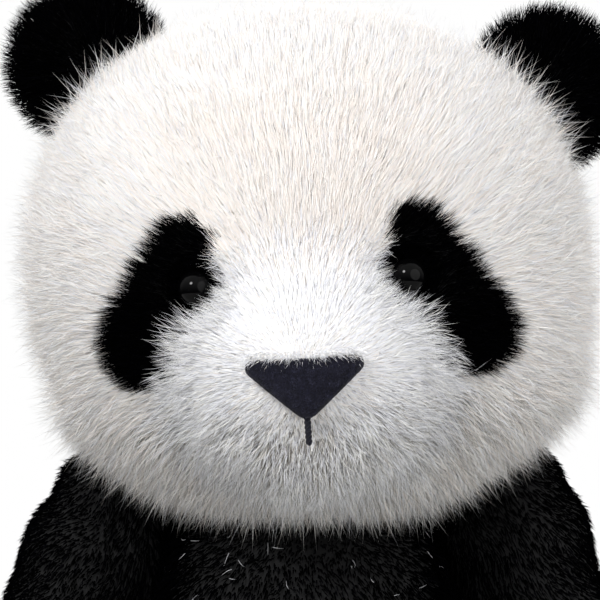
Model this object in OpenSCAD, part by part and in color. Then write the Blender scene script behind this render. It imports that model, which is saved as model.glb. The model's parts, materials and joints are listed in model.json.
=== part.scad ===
// Sitting plush panda with a turning head, swinging arms and swinging legs.
// Millimetres, +Z up, the panda faces -Y, and its own left is +X.
// Covers are as thick as the backing cloth plus its pressed pile.

/* [Head] */
// Radius of the head, seen from the side
head_r = 90; // [80:1:110]
// How far each side of the head is drawn out past a ball
head_stretch = 9; // [4:1:14]
// Distance that the head sits in front of the torso's axis
head_forward = 8; // [0:1:8]
// Thickness of the covers of the head and torso
cover_t = 6; // [5:0.5:7]
// Width of the strip that runs over the crown
gusset_w = 56; // [54:1:62]

/* [Face] */
// Roll of the whole face about the line of sight, in degrees
face_tilt = 3.3; // [0:0.1:4]
// Diameter of an eye
eye_d = 12; // [10:0.5:14]
// Distance of each eye from the middle of the face
eye_x = 36; // [34:1:38]
// Height of the eyes above the middle of the head
eye_z = -3; // [-6:1:0]
// Depth that an eye sits in the pile
eye_sink = 3; // [2:0.5:3.5]
// Diameter of the washer behind an eye
eye_washer_d = 16; // [14:1:20]
// Radius of the broad lower end of an eye patch
patch_r = 16; // [15:0.5:18]
// Radius of the narrow upper end of an eye patch
patch_tip_r = 10.5; // [9:0.5:13]
// Distance between the centres of those two ends
patch_l = 34.5; // [28:0.5:36]
// Slant of an eye patch, outwards from its top, in degrees
patch_slant = 25; // [16:1:30]
// Distance of a patch's upper end from the middle of the face
patch_x = 38; // [36:0.5:44]
// Height of a patch's upper end above the middle of the head
patch_z = 10; // [4:1:12]
// Radius of the muzzle
muzzle_r = 40; // [37:1:44]
// Depth of the muzzle's middle inside the front of the head
muzzle_in = 14; // [10:1:16]
// Distance from the head's middle down to the muzzle's middle
muzzle_drop = 33; // [32:1:36]
// Width of the head's cloth that lies behind the muzzle's edge
muzzle_seam = 8; // [7:1:11]
// Width of the nose
nose_w = 37.5; // [32:0.5:40]
// Height of the nose
nose_h = 19; // [17:1:22]
// Thickness of the nose
nose_t = 3; // [2:0.5:4]
// Radius of the nose's two upper corners
nose_corner_r = 2.8; // [2:0.2:4.4]
// Radius of the nose's lower tip
nose_tip_r = 4.5; // [3:0.5:7]
// Distance of the nose's top edge above the muzzle's middle
nose_lift = 8; // [6:1:10]
// Length of the stitched line under the nose
mouth_l = 9; // [7:1:12]
// Width of that line
mouth_w = 2.2; // [1.6:0.2:3]
// Height of the thread above the muzzle
mouth_t = 1; // [0.8:0.1:1.4]

/* [Ears] */
// Radius of an ear
ear_r = 27; // [24:1:30]
// Thickness of an ear at its middle
ear_t = 17; // [14:1:20]
// Distance from the head's radius out to the middle of an ear
ear_stand = 17; // [14:1:22]
// Angle of an ear above the level line through the head
ear_angle = 38.5; // [36:0.5:46]
// Distance that the ears sit behind the head's middle
ear_back = 8; // [4:1:14]
// Roll of the pair of ears about the line of sight, in degrees
ear_tilt = 3.3; // [0:0.1:4]

/* [Torso] */
// Radius of the belly
belly_r = 84; // [80:1:90]
// Radius of the flat seat under the belly
seat_flat_r = 46.4; // [40:0.2:52]
// Radius of the chest at the shoulders
chest_r = 66; // [63:1:70]
// Height of the chest's middle above the belly's middle
chest_up = 88; // [84:1:110]
// Radius of the flat top under the head
neck_flat_r = 38; // [34:1:44]
// Distance from the chest's middle down to the seam of the black yoke
yoke_drop = 30; // [18:1:48]
// Radius of the tail
tail_r = 18; // [15:1:20]
// Height of the tail's middle
tail_z = 46; // [40:1:56]
// Depth of the tail's middle inside the belly's radius
tail_sink = 4; // [2:0.5:6]
// Length of the blank label outside the belly's radius
label_out = 12; // [8:1:16]
// Height of the label
label_h = 22; // [16:1:26]
// Thickness of the label
label_t = 0.8; // [0.6:0.1:1.2]
// Angle of the label's seam round the belly from the tail, in degrees
label_turn = 20; // [14:1:30]

/* [Arms] */
// Radius of an arm at the shoulder
arm_r = 31; // [28:1:33]
// Radius of the paw
paw_r = 27; // [25:1:29]
// Distance from the middle of the shoulder to the middle of the paw
arm_reach = 77; // [60:1:78]
// Depth of the shoulder joint's flat seat in the chest
shoulder_seat = 12; // [10:0.5:14]
// Space between the head and the top of each arm
arm_head_gap = 8.8; // [8:0.1:12]
// Angle that the arms hang in front of the torso, in degrees
arm_rest = 20; // [0:1:30]
// Radius of the paw pad
palm_r = 15; // [12:1:17]

/* [Legs] */
// Radius of the thigh
thigh_r = 33; // [31:1:34]
// Radius of the foot
foot_r = 37; // [36:1:38]
// Distance from the hip joint to the middle of the foot
leg_reach = 85; // [75:1:100]
// Distance from the middle of the foot to the flat sole
sole_out = 26; // [24:1:28]
// Depth of the hip joint's flat seat in the belly
hip_seat = 34; // [30:0.5:35]
// Distance of the hip joint in front of the torso's middle
hip_forward = 5; // [0:1:8]
// Angle that each leg turns out, in degrees
leg_splay = 10; // [4:1:14]
// Width of the cloth left between the sole pad and the sole's edge
sole_edge = 0.9; // [0.6:0.1:3]
// Room left in the torso round the thigh and foot
leg_room = 1.5; // [1:0.25:3]

/* [Disc joints] */
// Thickness of the arm and leg covers
limb_cover_t = 5; // [4.5:0.5:5.5]
// Thickness of the cloth where a joint presses the pile flat
seat_t = 3; // [2:0.5:3.5]
// Space between the two cloths of a joint
seat_gap = 0.8; // [0.6:0.1:1.5]
// Radius of the disc in the neck
neck_disc_r = 22; // [18:1:23]
// Width of the head's flat cloth round the neck disc
neck_rim = 4; // [3:0.5:6]
// Radius of the disc in a shoulder
arm_disc_r = 17; // [14:1:18]
// Radius of the disc in a hip
leg_disc_r = 18; // [15:1:19]
// Width of a limb's flat cloth round its disc
seat_rim = 6.7; // [6:0.1:7.4]
// Thickness of every disc and washer
disc_t = 2.5; // [2:0.25:3]
// Radius of every stem
stem_r = 4; // [3:0.25:5]
// Radial space between a stem and its washer
running_gap = 0.05; // [0.02:0.01:0.09]
// Radial space between a stem and the cloth it passes through
cloth_gap = 0.5; // [0.3:0.1:1]
// Radius of every lock ring
lock_r = 9; // [7:0.5:11]
// Thickness of every lock ring
lock_t = 2.5; // [2:0.25:3]
// Space between a lock ring and what it turns against
lock_gap = 0.3; // [0.2:0.05:0.5]
// Length of stem past the lock ring
stem_end = 1.5; // [1:0.25:3]

/* [Filling] */
// Radius of the bag of weighting pellets
bag_r = 33; // [28:1:34]
// Height of that bag
bag_h = 20; // [14:1:22]
// Radius of the bag's rounded rim
bag_rim = 6; // [4:0.5:7]

/* [Hidden] */
$fn = 48;

black = "#17161a";
white = "#efeae6";
suede = "#2a272b";
felt = "#22222e";
fibre = "#f4f4f2";
plastic = "#d9d6cc";

// Steps in a quarter turn of a drawn curve
arc_steps = 9;
// Longer than anything in the panda, for cuts
far = 400;
// Overlap that keeps a cut from ending on a surface
over = 0.5;

// Distance from a ball's middle to a flat of radius f cut on it
function flat_at(r, f) = sqrt(pow(r, 2) - pow(f, 2));

// Heights, from the flat seat upwards
belly_z = flat_at(belly_r, seat_flat_r);
chest_z = belly_z + chest_up;
yoke_z = chest_z - yoke_drop;
neck_z = chest_z + flat_at(chest_r, neck_flat_r);
head_flat = flat_at(head_r, neck_disc_r + neck_rim);
head_z = neck_z + seat_gap + head_flat;
// The thicker end of a leg lies on the floor
leg_max_r = max(thigh_r, foot_r);
hip_z = leg_max_r;

// The slope of the torso's side sets how far the arms spread
arm_spread = asin((belly_r - chest_r) / chest_up);
shoulder_out = chest_r - shoulder_seat;
hip_out = belly_r - hip_seat;
// Distance from a joint's seat to the limb's axis
arm_seat = flat_at(arm_r, arm_disc_r + seat_rim);
leg_seat = flat_at(thigh_r, leg_disc_r + seat_rim);
// The sole pad keeps off the edge of the flat sole and off the flat cloth inside the leg
sole_reach_out = flat_at(foot_r, sole_out) - sole_edge;
sole_reach_in = leg_seat - seat_t - sole_edge;
sole_r = (sole_reach_out + sole_reach_in) / 2;
sole_shift = (sole_reach_out - sole_reach_in) / 2;
// The head's side, out from the chest's middle and up along the torso's side
head_over = head_z - chest_z;
head_side_out = head_stretch * cos(arm_spread) + head_over * sin(arm_spread);
head_side_up = head_over * cos(arm_spread) - head_stretch * sin(arm_spread);
// Distance of the shoulder joint up the torso's side, so that the arm hangs clear of the head
arm_out = shoulder_out + seat_gap + arm_seat;
head_to_arm = head_r + arm_r + arm_head_gap;
shoulder_up = head_side_up
    - sqrt(pow(head_to_arm, 2) - pow(head_forward, 2) - pow(arm_out - head_side_out, 2));

muzzle_out = head_r - muzzle_in;
muzzle_hole_r = muzzle_r - muzzle_seam;
ear_out = head_r + ear_stand;

// The safety eye's stem, and the washer pressed on it behind the cloth
eye_r = eye_d / 2;
eye_stem_r = 1.8;
eye_stem_out = 2;
eye_washer_t = 1.6;
eye_washer_drop = 0.8;

// The middle of the whole panda's depth lies at y = 0
front_reach = head_forward + muzzle_out + muzzle_r + nose_t;
tail_out = belly_r - tail_sink;
back_reach = tail_out + tail_r;
middle_y = (front_reach - back_reach) / 2;

// Points of a circular arc from angle a to angle b
function arc(c, r, a, b, n) =
    [for (i = [0 : n]) let (t = a + (b - a) * i / n) [c[0] + r * cos(t), c[1] + r * sin(t)]];

// Half outline of two balls on one axis, with straight sides between them
function pill_half(r1, z1, r2, z2) =
    let (side = asin((r1 - r2) / (z2 - z1)))
    concat(
        arc([0, z1], r1, -90, side, arc_steps),
        arc([0, z2], r2, side, 90, arc_steps)
    );

// Whole outline of the same shape, lying flat
function pill_outline(r1, z1, r2, z2) =
    let (side = asin((r1 - r2) / (z2 - z1)))
    concat(
        arc([0, z1], r1, -180 - side, side, arc_steps),
        arc([0, z2], r2, side, 180 - side, arc_steps)
    );

module pill(r1, z1, r2, z2) {
    rotate_extrude() polygon(pill_half(r1, z1, r2, z2));
}

// s is 1 for the left and -1 for the right
module side(s) {
    mirror([s < 0 ? 1 : 0, 0, 0]) children();
}

module place_torso() {
    translate([0, middle_y, 0]) children();
}

module place_head() {
    translate([0, middle_y - head_forward, head_z]) children();
}

module place_neck() {
    translate([0, middle_y - head_forward, neck_z + seat_gap / 2]) children();
}

// Shoulder frame: +X out of the torso, +Z up its side, origin in the middle of the joint's gap
module place_shoulder(s) {
    side(s) translate([0, middle_y, chest_z]) rotate([0, -arm_spread, 0])
        translate([shoulder_out + seat_gap / 2, 0, shoulder_up]) children();
}

// Hip frame: +X out of the torso, -Y along the leg, origin in the middle of the joint's gap
module place_hip(s) {
    side(s) translate([0, middle_y, hip_z]) rotate([0, 0, leg_splay])
        translate([hip_out + seat_gap / 2, -hip_forward, 0]) children();
}

// ---- Disc joints: +Z points out of the torso, into the part that turns

module joint_disc(r) {
    seat = seat_gap / 2 + seat_t;
    drop = seat + disc_t + lock_gap + lock_t + stem_end;
    translate([0, 0, seat]) cylinder(r = r, h = disc_t);
    translate([0, 0, -drop]) cylinder(r = stem_r, h = drop + seat + over);
}

module joint_washer(r) {
    translate([0, 0, -seat_gap / 2 - seat_t - disc_t]) difference() {
        cylinder(r = r, h = disc_t);
        translate([0, 0, -over]) cylinder(r = stem_r + running_gap, h = disc_t + 2 * over);
    }
}

module joint_lock() {
    translate([0, 0, -seat_gap / 2 - seat_t - disc_t - lock_gap - lock_t]) difference() {
        cylinder(r = lock_r, h = lock_t);
        translate([0, 0, -over]) cylinder(r = stem_r, h = lock_t + 2 * over);
    }
}

// Space that the joint takes from the torso's cloth and filling
module joint_room_in_torso(r) {
    seat = seat_gap / 2 + seat_t;
    deep = seat + disc_t + lock_gap + lock_t + stem_end + lock_gap;
    translate([0, 0, -seat - disc_t]) cylinder(r = r, h = disc_t);
    translate([0, 0, -deep]) cylinder(r = lock_r + lock_gap, h = deep - seat - over);
    translate([0, 0, -deep]) cylinder(r = stem_r + cloth_gap, h = deep + over);
}

// Space that the joint takes from the turning part's cloth and filling
module joint_room_in_limb(r) {
    translate([0, 0, seat_gap / 2 + seat_t]) cylinder(r = r, h = disc_t);
    cylinder(r = stem_r, h = seat_gap / 2 + seat_t + over);
}

// ---- Head

module head_form(inset) {
    flat = -head_flat + (inset > 0 ? seat_t : 0);
    intersection() {
        rotate([0, 90, 0])
            pill(head_r - inset, -head_stretch, head_r - inset, head_stretch);
        translate([-far / 2, -far / 2, flat]) cube([far, far, far]);
    }
}

module gusset_band() {
    translate([-gusset_w / 2, -far / 2, -far / 2]) cube([gusset_w, far, far]);
}

module chin_region() {
    translate([-gusset_w / 2, -far, -far]) cube([gusset_w, far, far - muzzle_drop]);
}

module at_muzzle() {
    rotate([0, -face_tilt, 0]) translate([0, -muzzle_out, -muzzle_drop]) children();
}

module muzzle_opening() {
    at_muzzle() rotate([90, 0, 0]) cylinder(r = muzzle_hole_r, h = 2 * far, center = true);
}

module front_half() {
    translate([-far / 2, -far, -far / 2]) cube([far, far, far]);
}

module patch_prism(s) {
    rotate([0, -face_tilt, 0]) side(s) translate([patch_x, 0, patch_z])
        rotate([90, -patch_slant, 0]) rotate([0, 0, 180]) linear_extrude(far)
        polygon(pill_outline(patch_tip_r, 0, patch_r, patch_l));
}

// Eye frame: origin on the head's surface, +Z straight out of it
module at_eye(s) {
    up = asin(eye_z / head_r);
    out = asin((eye_x - head_stretch) / (head_r * cos(up)));
    rotate([0, -face_tilt, 0]) side(s) translate([head_stretch, 0, 0])
        rotate([0, 0, out - 90]) rotate([0, 90 - up, 0]) translate([0, 0, head_r]) children();
}

// Hollow that an eye sits in, with the hole for its stem
module eye_pocket(s) {
    at_eye(s) translate([0, 0, -eye_sink]) cylinder(r = eye_r, h = cover_t + muzzle_r);
    at_eye(s) translate([0, 0, -cover_t - over]) cylinder(r = eye_stem_r, h = cover_t);
}

module both_eye_pockets() {
    eye_pocket(1);
    eye_pocket(-1);
}

module neck_joint_room() {
    translate([0, 0, -head_z + neck_z + seat_gap / 2]) joint_room_in_limb(neck_disc_r);
}

module head_wall() {
    difference() {
        head_form(0);
        head_form(cover_t);
        intersection() { muzzle_opening(); front_half(); }
        neck_joint_room();
        both_eye_pockets();
    }
}

module both_patch_prisms() {
    patch_prism(1);
    patch_prism(-1);
}

module head_gusset() {
    color(white) place_head() difference() {
        intersection() { head_wall(); gusset_band(); }
        chin_region();
        both_patch_prisms();
    }
}

module chin_panel() {
    color(white) place_head() intersection() { head_wall(); chin_region(); }
}

module head_side(s) {
    color(white) place_head() difference() {
        intersection() {
            head_wall();
            side(s) translate([gusset_w / 2, -far / 2, -far / 2]) cube([far, far, far]);
        }
        patch_prism(s);
    }
}

module eye_patch(s) {
    color(black) place_head() intersection() { head_wall(); patch_prism(s); }
}

module eye(s) {
    stem = cover_t - eye_sink + eye_washer_drop + eye_washer_t + eye_stem_out;
    color("black") place_head() at_eye(s) translate([0, 0, -eye_sink]) {
        intersection() {
            sphere(r = eye_r);
            cylinder(r = eye_r + over, h = eye_r + over);
        }
        translate([0, 0, -stem]) cylinder(r = eye_stem_r, h = stem + over);
    }
}

module eye_washer(s) {
    color(plastic) place_head() at_eye(s)
        translate([0, 0, -cover_t - eye_washer_drop - eye_washer_t]) difference() {
            cylinder(d = eye_washer_d, h = eye_washer_t);
            translate([0, 0, -over]) cylinder(r = eye_stem_r, h = eye_washer_t + 2 * over);
        }
}

module eye_room() {
    deep = cover_t + eye_washer_drop + eye_washer_t + eye_stem_out + over;
    for (s = [1, -1]) at_eye(s) translate([0, 0, -deep]) cylinder(d = eye_washer_d, h = deep);
}

module muzzle_cover() {
    color(white) place_head() difference() {
        at_muzzle() difference() {
            sphere(r = muzzle_r);
            sphere(r = muzzle_r - cover_t);
        }
        head_form(0);
        both_eye_pockets();
    }
}

// Rounded triangle with its broad side up
function nose_outline() =
    let (x = nose_w / 2 - nose_corner_r, top = -nose_corner_r, tip = nose_tip_r - nose_h)
    let (lean = atan2(top - tip, x))
    concat(
        arc([x, top], nose_corner_r, -lean, 90, arc_steps),
        arc([-x, top], nose_corner_r, 90, 180 + lean, arc_steps),
        arc([0, tip], nose_tip_r, 180 + lean, 360 - lean, arc_steps)
    );

module nose() {
    color(felt) place_head() at_muzzle() intersection() {
        difference() {
            sphere(r = muzzle_r + nose_t);
            sphere(r = muzzle_r);
        }
        translate([0, 0, nose_lift]) rotate([90, 0, 0]) linear_extrude(far) polygon(nose_outline());
    }
}

module mouth_stitch() {
    color(felt) place_head() at_muzzle() intersection() {
        difference() {
            sphere(r = muzzle_r + mouth_t);
            sphere(r = muzzle_r);
        }
        translate([-mouth_w / 2, -far, nose_lift - nose_h - mouth_l]) cube([mouth_w, far, mouth_l]);
    }
}

module ear_half(s, back) {
    half = [for (i = [0 : 2 * arc_steps]) let (t = -90 + 90 * i / arc_steps)
        [ear_r * cos(t), ear_t / 2 * sin(t)]];
    color(black) place_head() difference() {
        rotate([0, ear_tilt, 0]) side(s)
            translate([ear_out * cos(ear_angle), ear_back, ear_out * sin(ear_angle)])
            rotate([90, 0, 0]) intersection() {
                rotate_extrude() polygon(half);
                translate([-far / 2, -far / 2, back ? -far : 0]) cube([far, far, far]);
            }
        head_form(0);
    }
}

module head_filling() {
    color(fibre) place_head() difference() {
        union() {
            head_form(cover_t);
            intersection() {
                at_muzzle() sphere(r = muzzle_r - cover_t);
                muzzle_opening();
            }
        }
        neck_joint_room();
        eye_room();
    }
}

// ---- Torso

module shoulder_cuts(inset) {
    for (s = [1, -1]) place_shoulder(s) translate([-seat_gap / 2 - inset, -far / 2, -far / 2])
        cube([far, far, far]);
}

// Everywhere that a leg goes as it swings from sitting to standing
module leg_cuts(inset) {
    r = leg_max_r + leg_room + inset;
    for (s = [1, -1]) place_hip(s) translate([-seat_gap / 2 - inset, 0, 0]) rotate([0, 90, 0])
        linear_extrude(far) union() {
            circle(r = r);
            translate([-r, -far]) square([far, far]);
            translate([0, -r]) square([far, 2 * r]);
        }
}

module torso_form(inset) {
    thin = inset > 0 ? seat_t : 0;
    difference() {
        place_torso() intersection() {
            pill(belly_r - inset, belly_z, chest_r - inset, chest_z);
            translate([-far / 2, -far / 2, thin]) cube([far, far, neck_z - 2 * thin]);
        }
        shoulder_cuts(thin);
        leg_cuts(thin);
    }
}

module all_joint_room() {
    place_neck() joint_room_in_torso(neck_disc_r);
    for (s = [1, -1]) {
        place_shoulder(s) rotate([0, 90, 0]) joint_room_in_torso(arm_disc_r);
        place_hip(s) rotate([0, 90, 0]) joint_room_in_torso(leg_disc_r);
    }
}

module torso_wall() {
    difference() {
        torso_form(0);
        torso_form(cover_t);
        all_joint_room();
    }
}

// Part of the torso's wall between two heights; front, left and right are 1, -1 or 0 for both
module torso_panel(low, high, front, left) {
    x = left > 0 ? 0 : -far;
    y = front > 0 ? -far : 0;
    color(low < yoke_z ? white : black) intersection() {
        torso_wall();
        place_torso() translate([left == 0 ? -far : x, y, low])
            cube([left == 0 ? 2 * far : far, far, high - low]);
    }
}

module seat_panel() {
    color(white) intersection() {
        torso_wall();
        translate([-far, -far, 0]) cube([2 * far, 2 * far, seat_t]);
    }
}

module tail() {
    color(white) difference() {
        place_torso() translate([0, tail_out, tail_z]) sphere(r = tail_r);
        torso_form(0);
    }
}

module sewn_label() {
    color("white") difference() {
        place_torso() rotate([0, 0, label_turn]) translate([-label_t / 2, 0, tail_z - label_h / 2])
            cube([label_t, belly_r + label_out, label_h]);
        torso_form(0);
    }
}

module pellet_bag() {
    outline = concat(
        arc([bag_r - bag_rim, bag_rim], bag_rim, -90, 0, 4),
        arc([bag_r - bag_rim, bag_h - bag_rim], bag_rim, 0, 90, 4),
        [[0, bag_h], [0, 0]]
    );
    color("#b9b09a") place_torso() translate([0, 0, seat_t + over])
        rotate_extrude() polygon(outline);
}

module torso_filling() {
    color(fibre) difference() {
        torso_form(cover_t);
        all_joint_room();
        pellet_bag();
    }
}

module neck_disc() {
    color(plastic) place_neck() joint_disc(neck_disc_r);
}

module neck_lock() {
    color(plastic) place_neck() joint_lock();
}

module neck_washer() {
    color(plastic) place_neck() joint_washer(neck_disc_r);
}

// ---- Arms and legs: the long axis runs down -Z, +X points out of the torso

module limb_form(seat, r, end_r, reach, flat_end, inset) {
    thin = inset > 0 ? seat_t : 0;
    tip = reach + (flat_end > 0 ? flat_end : end_r) - inset;
    intersection() {
        translate([seat_gap / 2 + seat, 0, 0]) pill(end_r - inset, -reach, r - inset, 0);
        translate([seat_gap / 2 + thin, -far / 2, -tip]) cube([far, far, far]);
    }
}

module limb_wall(seat, r, end_r, reach, flat_end, disc_r) {
    difference() {
        limb_form(seat, r, end_r, reach, flat_end, 0);
        limb_form(seat, r, end_r, reach, flat_end, limb_cover_t);
        rotate([0, 90, 0]) joint_room_in_limb(disc_r);
    }
}

module limb_pad_prism(seat, reach, pad_r, pad_shift) {
    translate([seat_gap / 2 + seat + pad_shift, 0, -reach - far]) cylinder(r = pad_r, h = far);
}

module limb_outer(seat, r, end_r, reach, flat_end, disc_r, pad_r, pad_shift) {
    difference() {
        intersection() {
            limb_wall(seat, r, end_r, reach, flat_end, disc_r);
            translate([seat_gap / 2 + seat, -far / 2, -far / 2]) cube([far, far, far]);
        }
        limb_pad_prism(seat, reach, pad_r, pad_shift);
    }
}

module limb_inner(seat, r, end_r, reach, flat_end, disc_r, pad_r, pad_shift) {
    difference() {
        limb_wall(seat, r, end_r, reach, flat_end, disc_r);
        translate([seat_gap / 2 + seat, -far / 2, -far / 2]) cube([far, far, far]);
        limb_pad_prism(seat, reach, pad_r, pad_shift);
    }
}

module limb_pad(seat, r, end_r, reach, flat_end, disc_r, pad_r, pad_shift) {
    intersection() {
        limb_wall(seat, r, end_r, reach, flat_end, disc_r);
        limb_pad_prism(seat, reach, pad_r, pad_shift);
    }
}

module limb_filling(seat, r, end_r, reach, flat_end, disc_r) {
    difference() {
        limb_form(seat, r, end_r, reach, flat_end, limb_cover_t);
        rotate([0, 90, 0]) joint_room_in_limb(disc_r);
    }
}

module place_arm(s) {
    place_shoulder(s) rotate([-arm_rest, 0, 0]) children();
}

module place_leg(s) {
    place_hip(s) rotate([-90, 0, 0]) children();
}

module arm_outer(s) {
    color(black) place_arm(s)
        limb_outer(arm_seat, arm_r, paw_r, arm_reach, 0, arm_disc_r, palm_r, 0);
}

module arm_inner(s) {
    color(black) place_arm(s)
        limb_inner(arm_seat, arm_r, paw_r, arm_reach, 0, arm_disc_r, palm_r, 0);
}

module paw_pad(s) {
    color(suede) place_arm(s)
        limb_pad(arm_seat, arm_r, paw_r, arm_reach, 0, arm_disc_r, palm_r, 0);
}

module arm_filling(s) {
    color(fibre) place_arm(s)
        limb_filling(arm_seat, arm_r, paw_r, arm_reach, 0, arm_disc_r);
}

module leg_outer(s) {
    color(black) place_leg(s)
        limb_outer(leg_seat, thigh_r, foot_r, leg_reach, sole_out, leg_disc_r, sole_r, sole_shift);
}

module leg_inner(s) {
    color(black) place_leg(s)
        limb_inner(leg_seat, thigh_r, foot_r, leg_reach, sole_out, leg_disc_r, sole_r, sole_shift);
}

module sole_pad(s) {
    color(suede) place_leg(s)
        limb_pad(leg_seat, thigh_r, foot_r, leg_reach, sole_out, leg_disc_r, sole_r, sole_shift);
}

module leg_filling(s) {
    color(fibre) place_leg(s)
        limb_filling(leg_seat, thigh_r, foot_r, leg_reach, sole_out, leg_disc_r);
}

module shoulder_disc(s) {
    color(plastic) place_arm(s) rotate([0, 90, 0]) joint_disc(arm_disc_r);
}

module shoulder_lock(s) {
    color(plastic) place_arm(s) rotate([0, 90, 0]) joint_lock();
}

module shoulder_washer(s) {
    color(plastic) place_shoulder(s) rotate([0, 90, 0]) joint_washer(arm_disc_r);
}

module hip_disc(s) {
    color(plastic) place_leg(s) rotate([0, 90, 0]) joint_disc(leg_disc_r);
}

module hip_lock(s) {
    color(plastic) place_leg(s) rotate([0, 90, 0]) joint_lock();
}

module hip_washer(s) {
    color(plastic) place_hip(s) rotate([0, 90, 0]) joint_washer(leg_disc_r);
}

// ---- The whole panda

head_gusset();
head_side(1);  // head_side_left
head_side(-1);  // head_side_right
chin_panel();
muzzle_cover();
eye_patch(1);  // eye_patch_left
eye_patch(-1);  // eye_patch_right
ear_half(1, false);  // ear_front_left
ear_half(-1, false);  // ear_front_right
ear_half(1, true);  // ear_back_left
ear_half(-1, true);  // ear_back_right
eye(1);  // eye_left
eye(-1);  // eye_right
eye_washer(1);  // eye_washer_left
eye_washer(-1);  // eye_washer_right
nose();
mouth_stitch();
head_filling();
neck_disc();
neck_lock();
torso_panel(yoke_z, far, 1, 0);  // yoke_front
torso_panel(yoke_z, far, -1, 0);  // yoke_back
torso_panel(seat_t, yoke_z, 1, 0);  // belly_panel
torso_panel(seat_t, yoke_z, -1, 1);  // back_left
torso_panel(seat_t, yoke_z, -1, -1);  // back_right
seat_panel();
tail();
sewn_label();
torso_filling();
pellet_bag();
neck_washer();
shoulder_washer(1);  // shoulder_washer_left
shoulder_washer(-1);  // shoulder_washer_right
hip_washer(1);  // hip_washer_left
hip_washer(-1);  // hip_washer_right
arm_outer(1);  // arm_outer_left
arm_inner(1);  // arm_inner_left
paw_pad(1);  // paw_pad_left
arm_filling(1);  // arm_filling_left
shoulder_disc(1);  // shoulder_disc_left
shoulder_lock(1);  // shoulder_lock_left
arm_outer(-1);  // arm_outer_right
arm_inner(-1);  // arm_inner_right
paw_pad(-1);  // paw_pad_right
arm_filling(-1);  // arm_filling_right
shoulder_disc(-1);  // shoulder_disc_right
shoulder_lock(-1);  // shoulder_lock_right
leg_outer(1);  // leg_outer_left
leg_inner(1);  // leg_inner_left
sole_pad(1);  // sole_pad_left
leg_filling(1);  // leg_filling_left
hip_disc(1);  // hip_disc_left
hip_lock(1);  // hip_lock_left
leg_outer(-1);  // leg_outer_right
leg_inner(-1);  // leg_inner_right
sole_pad(-1);  // sole_pad_right
leg_filling(-1);  // leg_filling_right
hip_disc(-1);  // hip_disc_right
hip_lock(-1);  // hip_lock_right
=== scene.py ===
# %% [markdown]
# # A long-pile plush panda
# The panda is sewn from pile fabric: a thin knitted backing with thousands of fibres standing on
# it. This file dresses the plain solids of the design in that fabric, one step at a time. The
# solids give every size and place, so nothing here is fitted by eye.

# %% The design as a fixed frame
import json
import math
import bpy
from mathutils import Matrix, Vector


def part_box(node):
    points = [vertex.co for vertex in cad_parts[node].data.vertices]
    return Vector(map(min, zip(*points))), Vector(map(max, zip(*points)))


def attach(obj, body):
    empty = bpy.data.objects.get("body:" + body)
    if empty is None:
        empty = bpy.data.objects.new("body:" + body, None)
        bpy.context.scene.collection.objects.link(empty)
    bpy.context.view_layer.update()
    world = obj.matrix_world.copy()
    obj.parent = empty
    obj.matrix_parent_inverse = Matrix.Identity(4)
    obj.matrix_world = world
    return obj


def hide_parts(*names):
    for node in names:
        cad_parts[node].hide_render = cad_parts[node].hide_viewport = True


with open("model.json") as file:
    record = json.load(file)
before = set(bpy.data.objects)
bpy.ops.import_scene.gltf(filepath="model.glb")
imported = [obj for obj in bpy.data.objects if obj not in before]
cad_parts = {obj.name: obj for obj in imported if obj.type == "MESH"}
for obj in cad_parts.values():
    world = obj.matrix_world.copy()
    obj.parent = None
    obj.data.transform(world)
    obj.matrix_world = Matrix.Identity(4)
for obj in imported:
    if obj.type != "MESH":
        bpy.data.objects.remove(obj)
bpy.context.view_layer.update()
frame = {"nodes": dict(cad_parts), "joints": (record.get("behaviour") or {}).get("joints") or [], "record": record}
import zlib

import bmesh
import bpy
import numpy as np
from mathutils import Vector
from mathutils.bvhtree import BVHTree
from mathutils.kdtree import KDTree

MM = 0.001
body_of_node = {n: body for body, nodes in frame["record"]["behaviour"]["bodies"].items() for n in nodes}
slot_of_node = {s["node"]: s["material_slot"] for s in frame["record"]["subparts"]}

# %% [markdown]
# ## Measuring the design
# A sewn toy is laid out from a few places: the middle of the head, the eyes, the nose and the
# middle of each limb. Each is read from the boxes of the design's own pieces, in metres, so a
# change of size there carries through to every stitch here.

# %% Places on the head
def corners(*nodes):
    boxes = [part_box(node) for node in nodes]
    low = np.min([np.array(b[0]) for b in boxes], axis=0)
    high = np.max([np.array(b[1]) for b in boxes], axis=0)
    return low, high

crown_low, crown_high = corners("head_gusset")
head_r = (crown_high[1] - crown_low[1]) / 2
head_mid = np.array([0, (crown_high[1] + crown_low[1]) / 2, crown_high[2] - head_r])
muzzle_low, muzzle_high = corners("muzzle_cover")
muzzle_r = (muzzle_high[0] - muzzle_low[0]) / 2
muzzle_mid = np.array([(muzzle_low[0] + muzzle_high[0]) / 2, muzzle_low[1] + muzzle_r,
                       (muzzle_low[2] + muzzle_high[2]) / 2])
nose_low, nose_high = corners("nose")
nose_mid = (nose_low + nose_high) / 2
eye_mid = {s: sum(corners("eye_" + s)) / 2 for s in ("left", "right")}
patch_mid = {s: sum(corners("eye_patch_" + s)) / 2 for s in ("left", "right")}
eye_r = (corners("eye_left")[1][2] - corners("eye_left")[0][2]) / 2
neck_z = corners("yoke_front")[1][2]
neck_y = sum(corners("neck_disc"))[1] / 2
face_right = eye_mid["left"] - eye_mid["right"]
face_right = face_right / np.linalg.norm(face_right)
face_up = np.cross(face_right, (0, 1, 0))
nose_points = np.array([v.co[:] for v in frame["nodes"]["nose"].data.vertices])
nose_half_w = np.ptp(nose_points @ face_right) / 2
nose_top, nose_h = (nose_points @ face_up).max(), np.ptp(nose_points @ face_up)
mouth_points = np.array([v.co[:] for v in frame["nodes"]["mouth_stitch"].data.vertices])
mouth_half_w, mouth_end = np.ptp(mouth_points @ face_right) / 2, (mouth_points @ face_up).min()
print("head radius", round(head_r, 4), "middle", head_mid.round(4), "muzzle", muzzle_mid.round(4))

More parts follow.
